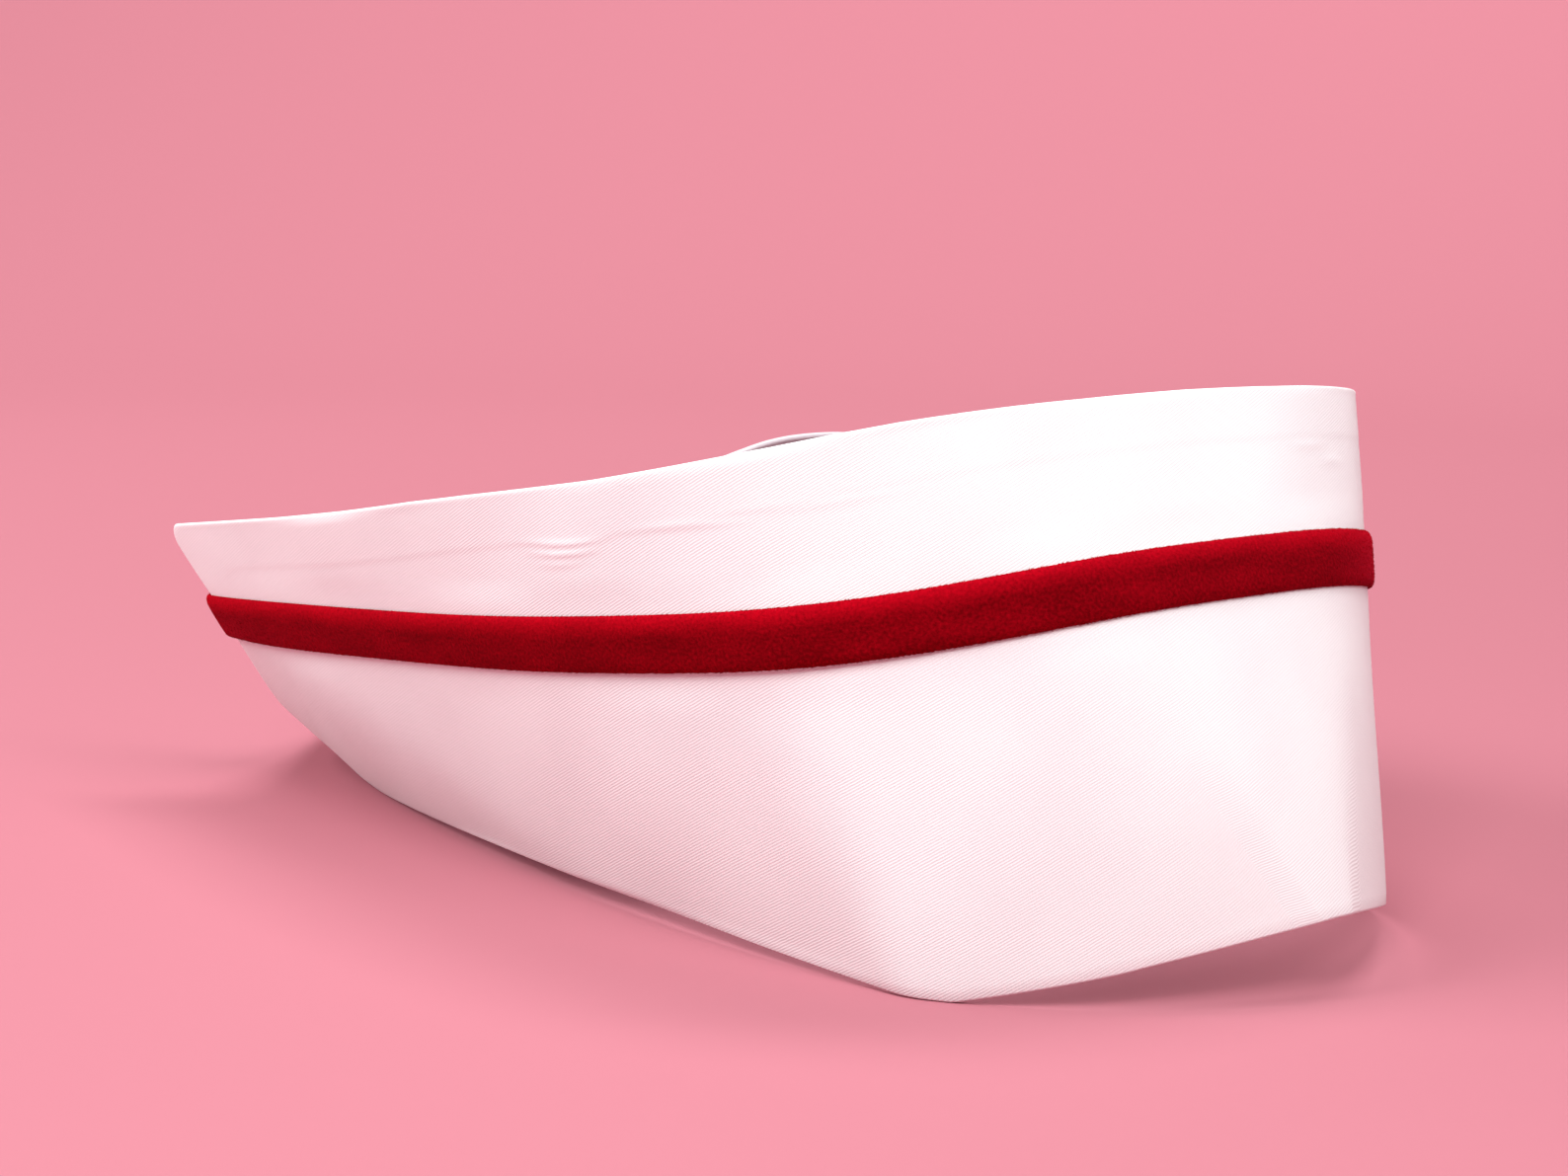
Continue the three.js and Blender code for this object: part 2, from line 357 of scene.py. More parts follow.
def new_object(name, points, faces, material, smooth=True):
    """A mesh object at the origin, from points in metres and a list of faces."""
    mesh = bpy.data.meshes.new(name)
    mesh.from_pydata(points.tolist(), [], faces)
    mesh.polygons.foreach_set("use_smooth", np.full(len(faces), smooth))
    mesh.materials.append(material)
    thing = bpy.data.objects.new(name, mesh)
    bpy.context.scene.collection.objects.link(thing)
    return thing


def new_piece(name, points, faces, material, uvs, smooth=True):
    """A piece of the cap from points in mm. Each named UV map has one pair of values for a point."""
    piece = new_object(name, placed(points), faces.tolist(), material, smooth)
    for layer, values in uvs.items():
        corners = values[faces.ravel()].astype(np.float32)
        piece.data.uv_layers.new(name=layer).data.foreach_set("uv", corners.ravel())
    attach(piece, "root")
    print(name, "has", len(points), "points and", len(faces), "faces")
    return piece


def new_wall(name, points, material, **uvs):
    """A closed smooth wall from a grid of points: one loop for each station."""
    flat_points = points.reshape(-1, 3)
    faces = outwards(flat_points, loop_faces(*points.shape[:2]))
    layers = {layer: values.reshape(-1, 2) for layer, values in uvs.items()}
    return new_piece(name, flat_points, faces, material, layers)


# %% [markdown]
# ## Starched cotton
# The cloth is a fine twill: diagonal ribs less than a millimetre apart, a little uneven because the
# yarn is. Starch leaves it matte with a faint broad shine. A picture of cloth would repeat, and turn
# soft close by, so the ribs are sine bands and the yarn is noise. They follow the cloth, so the
# material reads the flat pattern's own UV map, in mm, and not the space around the cap.

# %% Node helpers
def new_material(name):
    """An empty node material with a Principled shader."""
    material = bpy.data.materials.new(name)
    material.use_nodes = True
    tree = material.node_tree
    return material, tree, tree.nodes["Principled BSDF"]


def feed(tree, socket, value):
    """Links a socket to another one, or gives it a value."""
    if isinstance(value, bpy.types.NodeSocket):
        tree.links.new(value, socket)
    else:
        socket.default_value = value


def set_sockets(node, values):
    """Sets a node's own sockets from their names and values."""
    for socket, value in values.items():
        node.inputs[socket].default_value = value


def add_node(tree, kind, settings=(), **inputs):
    """A node with its settings and the values or links of its named inputs."""
    node = tree.nodes.new(kind)
    for key, value in dict(settings).items():
        setattr(node, key, value)
    for key, value in inputs.items():
        feed(tree, node.inputs[key], value)
    return node


# %% Number and colour helpers
def calc(tree, operation, a, b):
    """One Math node: a operation b."""
    node = add_node(tree, "ShaderNodeMath", {"operation": operation})
    feed(tree, node.inputs[0], a)
    feed(tree, node.inputs[1], b)
    return node.outputs[0]


def stretched(tree, value, start, strength):
    """(value - start) strength."""
    return calc(tree, "MULTIPLY", calc(tree, "SUBTRACT", value, start), strength)


def clamped(tree, value):
    """The value, held between 0 and 1."""
    return calc(tree, "MINIMUM", calc(tree, "MAXIMUM", value, 0.0), 1.0)


def ramp(tree, value, start, end, first, last):
    """A smooth step from first, where the value is start, to last, where it is end."""
    node = add_node(tree, "ShaderNodeMapRange", {"interpolation_type": "SMOOTHSTEP"}, Value=value)
    set_sockets(node, {"From Min": start, "From Max": end, "To Min": first, "To Max": last})
    return node.outputs[0]


def mix_colour(tree, factor, a, b):
    """Colour a, with a share of colour b."""
    node = add_node(tree, "ShaderNodeMix", {"data_type": "RGBA"})
    feed(tree, node.inputs[0], factor)
    feed(tree, node.inputs[6], a)
    feed(tree, node.inputs[7], b)
    return node.outputs[2]


# %% Pattern helpers
NOISE_DETAIL = 3


def pattern(tree, layer="flat", scale=(1, 1), turn=0):
    """The UV map of that name, scaled and turned by degrees."""
    source = add_node(tree, "ShaderNodeUVMap", {"uv_map": layer})
    mapping = add_node(tree, "ShaderNodeMapping", Vector=source.outputs[0])
    set_sockets(mapping, {"Scale": (*scale, 1), "Rotation": (0, 0, math.radians(turn))})
    return mapping.outputs[0]


def second(tree, layer="flat"):
    """The second value of a UV map."""
    return add_node(tree, "ShaderNodeSeparateXYZ", Vector=pattern(tree, layer)).outputs[1]


def noise(tree, vector, scale):
    """A noise texture's value."""
    inputs = {"Vector": vector, "Scale": scale, "Detail": NOISE_DETAIL}
    return add_node(tree, "ShaderNodeTexNoise", **inputs).outputs[0]


def bump(tree, height, depth):
    """Normals of a height, where a height of 1 stands depth mm proud."""
    return add_node(tree, "ShaderNodeBump", Strength=1.0, Distance=depth * MM, Height=height).outputs[0]

# %% Sizes and colours of the cotton
TWILL_PITCH = 0.46
TWILL_TURN = -69
WAVE_PITCH = math.pi / 10
RIB_WANDER = 0.9
RIB_HEIGHT = 0.6
YARN_STRETCH = (1.6, 0.35)
YARN_SCALE = 2.2
YARN_HEIGHT = 0.8
# Share of painted shade in the valleys between the ribs.
VALLEY_SHADE_SHARE = 0.14
CLOUD_SCALE = 0.03
CLOUD_START = 0.45
CLOUD_STRENGTH = 2.2
LINT_SCALE = 0.028
LINT_RADIUS = 0.011
LINT_SHARE = 0.55
# Painted shade darkens the cuff towards its lower edge: over this depth in mm, and by this share at the
# edge.
LOWER_SHADE_DEPTH = 45
LOWER_SHADE_SHARE = 0.35
CUFF_WHITE = (0.83, 0.82, 0.83, 1)
CUFF_SHADE = (0.76, 0.73, 0.75, 1)
CUFF_TWILL_DEPTH = 0.05
# The crown's colours are darker and pinker than the cuff's: painted shade, with a painted pink bounce
# from the floor.
CROWN_SHADED_WHITE = (0.66, 0.58, 0.62, 1)
CROWN_SHADED_DARK = (0.6, 0.52, 0.56, 1)
CROWN_TWILL_DEPTH = 0.04
# A greyish pink for specks of lint, and for the painted shade by the cuff's lower edge.
COTTON_LINT_AND_SHADE = (0.68, 0.57, 0.59, 1)
COTTON_FINISH = {
    "Roughness": 0.82,
    "Specular IOR Level": 0.3,
    "Sheen Weight": 0.15,
    "Sheen Roughness": 0.5,
}


# %% Cotton material
def twill_ribs(tree):
    """Sine bands from 0 to 1, turned to the twill's diagonal. A wave texture's bands are WAVE_PITCH
    apart at scale 1."""
    settings = {"wave_type": "BANDS", "bands_direction": "X", "wave_profile": "SIN"}
    inputs = {
        "Vector": pattern(tree, turn=TWILL_TURN),
        "Scale": WAVE_PITCH / TWILL_PITCH,
        "Distortion": RIB_WANDER,
    }
    return add_node(tree, "ShaderNodeTexWave", settings, **inputs).outputs["Fac"]


def cotton_height(tree, ribs):
    """Ribs and uneven yarn, added."""
    yarn = noise(tree, pattern(tree, scale=YARN_STRETCH), YARN_SCALE)
    ribs = calc(tree, "MULTIPLY", ribs, RIB_HEIGHT)
    return calc(tree, "ADD", ribs, calc(tree, "MULTIPLY", yarn, YARN_HEIGHT))


def lint(tree):
    """LINT_SHARE in rare round specks, one in each cell of a Voronoi pattern, and 0 elsewhere."""
    cells = add_node(tree, "ShaderNodeTexVoronoi", Vector=pattern(tree), Scale=LINT_SCALE)
    speck = calc(tree, "LESS_THAN", cells.outputs["Distance"], LINT_RADIUS)
    return calc(tree, "MULTIPLY", speck, LINT_SHARE)


def cotton_colour(tree, ribs, white, shade):
    """White with clouds of a darker tone from the starch, painted shade between the ribs, and specks of
    lint.
    """
    clouds = stretched(tree, noise(tree, pattern(tree), CLOUD_SCALE), CLOUD_START, CLOUD_STRENGTH)
    colour = mix_colour(tree, clamped(tree, clouds), white, shade)
    # Painted shade in the valleys between the twill's ribs.
    valley_shade = calc(tree, "MULTIPLY", calc(tree, "SUBTRACT", 1.0, ribs), VALLEY_SHADE_SHARE)
    colour = mix_colour(tree, valley_shade, colour, shade)
    return mix_colour(tree, lint(tree), colour, COTTON_LINT_AND_SHADE)


def cotton(name, white, shade, depth, shaded_below=False):
    """Twill in two close colours with a bump of a depth in mm. Cloth shaded below has painted shade: a
    faint darker tint by its lower edge, which fades over a set depth in mm above it."""
    material, tree, shader = new_material(name)
    ribs = twill_ribs(tree)
    colour = cotton_colour(tree, ribs, white, shade)
    # Painted shade: the colour darkens towards the lower edge and fades out higher up.
    if shaded_below:
        lower_shade = ramp(tree, second(tree, "edges"), 0, LOWER_SHADE_DEPTH, LOWER_SHADE_SHARE, 0)
        colour = mix_colour(tree, lower_shade, colour, COTTON_LINT_AND_SHADE)
    tree.links.new(colour, shader.inputs["Base Color"])
    tree.links.new(bump(tree, cotton_height(tree, ribs), depth), shader.inputs["Normal"])
    set_sockets(shader, COTTON_FINISH)
    return material


CUFF_COTTON = cotton("starched_cuff_cotton_shaded_below", CUFF_WHITE, CUFF_SHADE, CUFF_TWILL_DEPTH, shaded_below=True)
CROWN_SHADED_COTTON = cotton("thin_crown_cotton_painted_shade", CROWN_SHADED_WHITE, CROWN_SHADED_DARK, CROWN_TWILL_DEPTH)
print("twill ribs are", TWILL_PITCH, "mm apart in", CUFF_COTTON.name, "and", CROWN_SHADED_COTTON.name)

# %% [markdown]
# ## The cuff
# The real cuff is folded double and pressed, with a hem turned in under its top edge. The hem's raw edge
# shows through as a faint line, and small creases lie below it where the cloth was ironed twice.
# A displacement of a plain band would lose the thickness, so the cuff is a closed wall: each ruling
# carries a loop that runs up the outside, over the rounded top edge, down the inside and round the fold.

# %% Relief of the cuff, in mm
HEM_DEPTH = 9.2
HEM_STEP = 0.07
HEM_SOFT = 0.6
CREASES = table(
    ("x", "y", "half length", "rise of the ends", "height", "width"),
    (127, 17.4, 14, 1.2, 0.27, 0.55),
    (128, 15.7, 12, 1.2, 0.26, 0.60),
    (129, 14.0, 9, 1.0, 0.12, 0.70),
    (98, 19.3, 16, -0.5, 0.12, 0.60),
    (72, 20.4, 22, 0.3, 0.08, 0.80),
    (-30, 20.0, 9, 0.6, 0.10, 0.80),
    (-38, 17.2, 7, -0.8, 0.12, 0.90),
    (-150, 16.5, 14, 0.9, 0.14, 0.80),
    (-176, 13.0, 10, -0.7, 0.12, 0.90),
)
WAVES = table(
    ("length along x", "length along y", "shift", "height"),
    (97, 160, 0.4, 0.16),
    (61, -75, 1.9, 0.10),
    (37, 48, 3.1, 0.05),
)
PRESSED_REACH = 9
PRESSED_SOFT = 3


def smooth_step(value):
    """0 below -1, 1 above 1, and 3 v^2 - 2 v^3 between, where v = (value + 1) / 2."""
    v = np.clip((value + 1) / 2, 0, 1)
    return v * v * (3 - 2 * v)


def relief(x, y, below_top):
    """Height of the surface over the smooth sheet: the hem's step, each crease as a ridge
    height * exp(-((y - c(x)) / width)^2) that fades to its ends, and a few long waves, which are
    pressed flat within PRESSED_REACH of the ribbon's middle."""
    total = HEM_STEP * smooth_step((HEM_DEPTH - below_top) / HEM_SOFT)
    for x0, y0, half, rise, height, width in zip(*CREASES.values()):
        u = np.clip((x - x0) / half, -1, 1)
        ridge = np.exp(-(((y - y0 - rise * u * u) / width) ** 2))
        total = total + height * ridge * np.cos(math.pi / 2 * u) ** 2
    free = smooth_step((np.abs(y) - PRESSED_REACH) / PRESSED_SOFT)
    for along, up, shift, height in zip(*WAVES.values()):
        total = total + free * height * np.sin(2 * math.pi * (x / along + y / up) + shift)
    return total


# %% The cuff's loops
CUFF_COLUMNS = 262
FINE_DEPTH = 22
FINE_ROWS = 48
WIDE_ROWS = 36
ARC_ROWS = 6
ARC = np.linspace(0, math.pi, ARC_ROWS + 2)[1:-1]
INNER_WALL = 1.3
INNER_HEM_SOFT = 0.5
PRESSED_EDGE = 0.8
PRESS_DEPTH = 1.6
PRESS_SOFT = 1.2
RELIEF_FADE = 1.5


def cuff_stations():
    """Even stations, with the nearest one moved to the ruling through each corner of the pattern."""
    stations = np.linspace(0, REACH, CUFF_COLUMNS + 1)
    tip = top_edge(np.array([WING_END]))
    corner_x = np.array([LOWER_CORNER, end_edge(tip)[0], WING_END])
    corner_y = np.array([float(lower_edge(LOWER_CORNER)), tip[0], 0])
    for s in ruling_at(corner_x, corner_y):
        stations[np.argmin(abs(stations - s))] = s
    return stations


def rows_below(length, edge):
    """Distances below the upper end: fine rows down to FINE_DEPTH or half way, then wider ones."""
    depth = np.minimum(FINE_DEPTH, length / 2)
    fine = edge + np.linspace(0, 1, FINE_ROWS)[None] * (depth - edge)
    wide = depth + np.linspace(0, 1, WIDE_ROWS + 1)[None, 1:] * (length - edge - depth)
    return np.concatenate([fine, wide], axis=1)


def inner_lift(rows):
    """Lift of the inner face: the wall, thicker within the hem and pressed thin by the top edge."""
    hem = (CUFF_WALL - INNER_WALL) * smooth_step((HEM_DEPTH - rows) / INNER_HEM_SOFT)
    pressed = (CUFF_WALL - PRESSED_EDGE) * smooth_step((PRESS_DEPTH - rows) / PRESS_SOFT)
    return -INNER_WALL - hem + pressed


def cuff_loop(s):
    """Loop of (y, lift) for each ruling: up the outside, over the top arc, down the inside and
    round the lower fold."""
    half = PRESSED_EDGE / 2
    fold = INNER_WALL / 2
    low, high = lower_end(s)[:, None], upper_end(s)[:, None]
    length = high - low
    edge = np.minimum(half, length / 4)
    rows = rows_below(length, edge)
    top_arc = half * np.cos(ARC) - half + 0 * edge
    fold_arc = -fold - fold * np.cos(ARC) + 0 * edge
    outside, inside = (high - rows)[:, ::-1], high - rows
    over, under = high - edge + edge * np.sin(ARC), low + edge - edge * np.sin(ARC)
    y = np.concatenate([outside, over, inside, under], axis=1)
    lift = np.concatenate([np.zeros_like(rows), top_arc, inner_lift(rows), fold_arc], axis=1)
    return y, lift, high - y, y - low


def cuff_side(s, sign):
    """Points, flat pattern and edge distances of one side of the cuff. The sign is that of its x."""
    y, lift, below, above = cuff_loop(s)
    x = sign * (s[:, None] + y * lean(s)[:, None])
    fade = np.clip(np.minimum(below, above) / RELIEF_FADE, 0, 1)
    points = on_ruling(s[:, None] + 0 * y, y, lift + fade * relief(x, y, below))
    points[..., 2] = np.maximum(points[..., 2], 0)
    if sign < 0:
        points = mirrored(points)
    return points, np.stack([x, y], axis=-1), np.stack([below, above], axis=-1)


# %% The cuff's mesh
KEEL_STATIONS = 12
KEEL_REACH = 50
KEEL_FADE = 14
KEEL_TOP = -22
KEEL_RISE = 16


def soften_keel(points, y, s):
    """A Hann average over the neighbouring stations, blended in at the low centre front, where the
    rulings of both sides crowd together and the starched cloth turns in a soft curve."""
    weights = np.hanning(2 * KEEL_STATIONS + 1)
    average = sum(weight * np.roll(points, step - KEEL_STATIONS, axis=0)
                  for step, weight in enumerate(weights / weights.sum()))
    blend = smooth_step((KEEL_REACH - s[:, None]) / KEEL_FADE) * smooth_step((KEEL_TOP - y) / KEEL_RISE)
    return points + blend[..., None] * (average - points)


def make_cuff():
    """Both sides of the cuff as one closed wall."""
    s = cuff_stations()
    sides = zip(cuff_side(s, 1), cuff_side(s, -1))
    points, flat, edges = (both_sides(near, far) for near, far in sides)
    points = soften_keel(points, flat[..., 1], both_sides(s, s))
    return new_wall("cuff_cloth", points, CUFF_COTTON, flat=flat, edges=edges)


cuff_cloth = make_cuff()
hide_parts("cuff")

# %% [markdown]
# ## The crown
# Behind the front hem the thin crown slopes down to the centre back, where it is gathered into pleats
# between the two ends of the cuff. Cloth simulation could drape it, but its hem must meet the rim in the
# picture exactly, so each section is a rounded arch from foot to foot and the pleats are a formula.

# %% Sizes of the crown, in mm
CROWN_FRONT = -99
CROWN = table(
    ("behind the hem", "height", "bulge", "pleat"),
    (0, 78.3, 6, 0),
    (2, 77.6, 6, 0),
    (23, 70.3, 6, 0.4),
    (51, 60.5, 5, 1.4),
    (79, 48, 4, 2.4),
    (106, 34, 2, 2.4),
    (125, 22, 1, 1.4),
    (140, 12, 0, 0.3),
)
CROWN_SQUARENESS = 2.3
CROWN_LIFT = 2.5
CROWN_CLEARANCE = 1.2
FIRST_FOOT = 120
FOOT_STEPS = 400
PLEATS = 5
TUCK_SHARE = 0.16
TUCK_DRIFT = 9


def crown_feet(x):
    """Places where the crown meets the inside of the cuff, for sections at x."""
    s = np.linspace(FIRST_FOOT, REACH - 1, FOOT_STEPS)
    feet = on_ruling(s, lower_end(s) + CROWN_LIFT, -CUFF_WALL - CROWN_CLEARANCE)[::-1]
    return np.stack([np.interp(x, feet[:, 0], feet[:, i]) for i in range(3)], axis=-1)


def crown_sheet(back, across):
    """Middle of the crown, where a runs from 0 to pi: y = side (foot + bulge sin a - fold) and
    z = foot + (height - foot - fold) sin(a)^(2/n). The side is -cos(a)^(2/n) with the cosine's sign,
    and the fold is pleat sin a (|sin(5 a)| + TUCK_SHARE sin(15 a + back / TUCK_DRIFT)^2)."""
    back, across = np.meshgrid(back, across, indexing="ij")
    rows, *columns = CROWN.values()
    height, bulge, pleat = (np.interp(back, rows, column) for column in columns)
    foot = crown_feet(CROWN_FRONT - back)
    a = math.pi * across
    rise = np.abs(np.sin(a))
    power = 2 / CROWN_SQUARENESS
    tucks = np.abs(np.sin(PLEATS * a)) + TUCK_SHARE * np.sin(3 * PLEATS * a + back / TUCK_DRIFT) ** 2
    fold = pleat * rise * tucks
    side = -np.sign(np.cos(a)) * np.abs(np.cos(a)) ** power
    y = side * (np.abs(foot[..., 1]) + bulge * rise - fold)
    z = foot[..., 2] + (height - foot[..., 2] - fold) * rise**power
    return np.stack([CROWN_FRONT - back, y, z], axis=-1)


# %% The crown's mesh
CROWN_ROWS = 110
HEM_ROWS = 16
HEM_START = 0.6
HEM_END = 8
SLOPE_START = 9
CROWN_STATIONS = 180
CROWN_WALL = 0.6
CROWN_HEM = 1.0
CROWN_HEM_DEPTH = 6
CROWN_CLOTH_WIDTH = 170


def crown_rows():
    """Distances behind the hem: fine rows over its turning, then wider ones down the slope."""
    fine = np.linspace(HEM_START, HEM_END, HEM_ROWS)
    wide = np.linspace(SLOPE_START, CROWN["behind the hem"][-1], CROWN_ROWS - HEM_ROWS)
    return np.concatenate([fine, wide])


def unit(vectors):
    """The vectors with length 1."""
    return vectors / np.linalg.norm(vectors, axis=-1, keepdims=True)


def sheet_normals(points):
    """Unit normals of a grid of points, from the cross product of its two directions."""
    down, over = np.gradient(points, axis=0), np.gradient(points, axis=1)
    return unit(np.cross(over, down))


def rounded_edge(edge, before, normal, half):
    """A half circle edge + half (cos(a) normal + sin(a) outward), where outward points from the row
    before the edge to the edge."""
    a = ARC[:, None, None]
    return edge + half * (np.cos(a) * normal + np.sin(a) * unit(edge - before))


def make_crown():
    """A closed wall: for each station across, a loop over the outside, round the back edge, along
    the inside and round the front hem, which is thicker for the depth of its turning."""
    back = crown_rows()
    across = np.linspace(0, 1, CROWN_STATIONS + 1)
    middle = crown_sheet(back, across)
    normal = sheet_normals(middle)
    wall = CROWN_WALL + (CROWN_HEM - CROWN_WALL) * smooth_step(CROWN_HEM_DEPTH - back)
    half = wall[:, None, None] / 2
    end = rounded_edge(middle[-1], middle[-2], normal[-1], half[-1])
    hem = rounded_edge(middle[0], middle[1], -normal[0], half[0])
    loops = np.concatenate([middle + half * normal, end, (middle - half * normal)[::-1], hem])
    rows = np.concatenate([back, np.full(ARC_ROWS, back[-1]), back[::-1], np.full(ARC_ROWS, back[0])])
    width = CROWN_CLOTH_WIDTH * (across - 0.5)
    flat = np.stack(np.broadcast_arrays(width[:, None], rows[None]), axis=-1)
    return new_wall("crown_cloth", loops.transpose(1, 0, 2), CROWN_SHADED_COTTON, flat=flat)


crown_cloth = make_crown()
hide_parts("crown")

# %% [markdown]
# ## Velvet
# Velvet is a woven ribbon with a dense standing pile. Seen straight on it is deep and dark, because the
# light goes in between the fibres, and seen along the pile it shines. Hair particles could stand for the
# pile, but it would take millions. The shader's sheen lobe gives the same shine, slow noise gives the
# patches where fingers have brushed the pile, and fine noise gives the pile itself.

# %% Velvet material
VELVET_DEEP = (0.12, 0.0001, 0.002, 1)
VELVET_BRIGHT = (0.45, 0.001, 0.009, 1)
BRUSH_STRETCH = (0.12, 0.4)
BRUSH_SCALE = 0.5
BRUSH_START = 0.2
BRUSH_STRENGTH = 0.5
PILE_SCALE = 1.7
PILE_START = 0.5
PILE_STRENGTH = 1.0
# Painted highlight: a brighter strip by the ribbon's upper edge, where light from above grazes the pile.
TOP_HIGHLIGHT_START = 0.6
TOP_HIGHLIGHT_END = 4.4
TOP_HIGHLIGHT_SHARE = 0.5
VELVET_FINISH = {
    "Roughness": 0.95,
    "Specular IOR Level": 0.02,
    "Sheen Weight": 0.35,
    "Sheen Roughness": 0.35,
    "Sheen Tint": (1, 0.01, 0.05, 1),
}


def velvet(name, shine, depth):
    """Brushed patches and fine pile as colour, a painted highlight as a brighter strip by the upper
    edge, and an even painted sheen added to the colour; pile as bump of a depth in mm, and a wide red
    sheen."""
    material, tree, shader = new_material(name)
    patches = noise(tree, pattern(tree, scale=BRUSH_STRETCH), BRUSH_SCALE)
    pile = noise(tree, pattern(tree), PILE_SCALE)
    brushed = stretched(tree, patches, BRUSH_START, BRUSH_STRENGTH)
    speckle = stretched(tree, pile, PILE_START, PILE_STRENGTH)
    # Painted highlight by the upper edge.
    strip = ramp(tree, second(tree), TOP_HIGHLIGHT_START, TOP_HIGHLIGHT_END, 0, TOP_HIGHLIGHT_SHARE)
    share = calc(tree, "ADD", calc(tree, "ADD", brushed, speckle), strip)
    share = clamped(tree, calc(tree, "ADD", share, shine))
    tree.links.new(mix_colour(tree, share, VELVET_DEEP, VELVET_BRIGHT), shader.inputs["Base Color"])
    if depth:
        tree.links.new(bump(tree, pile, depth), shader.inputs["Normal"])
    set_sockets(shader, VELVET_FINISH)
    return material


VELVET = velvet("red_velvet_pile", shine=0.0, depth=0.15)
# The tufts' copy of the velvet is brighter all over: painted sheen on the pile's fuzz.
VELVET_TIPS_SHEEN = velvet("red_velvet_tips_painted_sheen", shine=0.15, depth=0)
print("made", VELVET.name, "and", VELVET_TIPS_SHEEN.name)

# %% [markdown]
# ## The ribbon
# The ribbon lies on the flat pattern's straight line, goes round each wing end and is turned in for a
# finger's width. It could be a curve with a flat bevel, but that would leave the cuff where it twists.
# Its section is domed by the pile, and its two woven edges have tiny teeth, one for each pick of the
# loom. One function places a point at any depth of it, so the pile can stand on it later.

# %% The ribbon's path, in mm
RIBBON_THICK = 1.2
RIBBON_GAP = 0.12
RIBBON_TUCK = 11
RIBBON_BASE = CUFF_WALL / 2 + RIBBON_GAP
RIBBON_TURN = math.pi * RIBBON_BASE


def on_ribbon(run, y, lift):
    """A point on the ribbon: run is the length along it from the front. Up to the wing end it lies
    outside the cuff, then it turns half a circle of radius lift, then it runs back inside."""
    end = end_edge(y) + RIBBON_GAP
    angle = np.clip((run - end) / RIBBON_TURN, 0, 1) * math.pi
    tail = np.maximum(run - end - RIBBON_TURN, 0)
    x = np.minimum(run, end) + lift * np.sin(angle) - tail
    return on_ruling(ruling_at(x, y), y, lift * np.cos(angle) - CUFF_WALL / 2)


# %% The ribbon's mesh
OUTSIDE_STATIONS = 560
TURN_STATIONS = 10
TUCK_STATIONS = 18
BEFORE_TURN = 0.4
AFTER_TURN = 0.6
RIBBON_ROWS = 14
SELVEDGE = 0.15
DOME_POWER = 6
TOOTH_PITCH = 0.9
TOOTH_HEIGHT = 0.1


def ribbon_runs():
    """Even stations to the wing end, close ones round it, and a few along the turned-in end."""
    end = WING_END + RIBBON_GAP
    outside = np.linspace(0, end - BEFORE_TURN, OUTSIDE_STATIONS)
    around = np.linspace(end, end + RIBBON_TURN, TURN_STATIONS)
    tucked = end + RIBBON_TURN + np.linspace(AFTER_TURN, RIBBON_TUCK, TUCK_STATIONS)
    return np.concatenate([outside, around, tucked])


def pile_lift(v):
    """Lift of the domed pile for v from -1 to 1 across: base + thickness (e + (1 - e) sqrt(1 - v^6)),
    where e is the selvedge's share of the thickness."""
    dome = np.sqrt(1 - np.abs(v) ** DOME_POWER)
    return RIBBON_BASE + RIBBON_THICK * (SELVEDGE + (1 - SELVEDGE) * dome)


def ribbon_loop(runs):
    """Loop of (run, y, lift): over the domed pile from the lower to the upper edge, and back
    along the flat underside."""
    v = np.sin(np.linspace(-1, 1, RIBBON_ROWS) * math.pi / 2)
    tooth = TOOTH_HEIGHT * np.abs((runs / TOOTH_PITCH) % 1 * 2 - 1)
    half = RIBBON_WIDTH / 2 - TOOTH_HEIGHT + tooth[:, None]
    dome = pile_lift(v) + 0 * half
    under = np.full_like(dome, RIBBON_BASE)
    y = np.concatenate([half * v, (half * v)[:, ::-1]], axis=1)
    lift = np.concatenate([dome, under[:, ::-1]], axis=1)
    return np.broadcast_to(runs[:, None], y.shape), y, lift


def make_ribbon():
    """The ribbon round both sides as one closed body."""
    run, y, lift = ribbon_loop(ribbon_runs())
    near = on_ribbon(run, y, lift)
    points = both_sides(near, mirrored(near))
    flat = both_sides(np.stack([run, y], axis=-1), np.stack([-run, y], axis=-1))
    return new_wall("velvet_ribbon", points, VELVET, flat=flat)


velvet_ribbon = make_ribbon()
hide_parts("velvet_band")

# %% [markdown]
# ## The pile
# At the ribbon's edges the pile shows as fuzz, which no flat shader can give. Hair curves could give it,
# but their look is lost when the model is exported, so each tuft is a thin pyramid with three sides.
# Their roots are scattered with a fixed seed, and their tips are placed by the same function as the
# ribbon, a little higher and a little aside.

# %% Sizes of the tufts, in mm
PILE_SEED = 7
TUFTS = 22000
TUFT_LENGTH = 0.26
TUFT_LENGTHS = (0.6, 1.1)
TUFT_WIDTH = 0.10
TUFT_SPREAD = 0.22
TUFT_INSET = 0.05
TUFT_ROOT = 0.08
EDGE_SPLAY = 0.15
EDGE_SHORTER = 0.6
TUFT_FACES = np.array([(0, 2, 1), (0, 1, 3), (1, 2, 3), (2, 0, 3)])


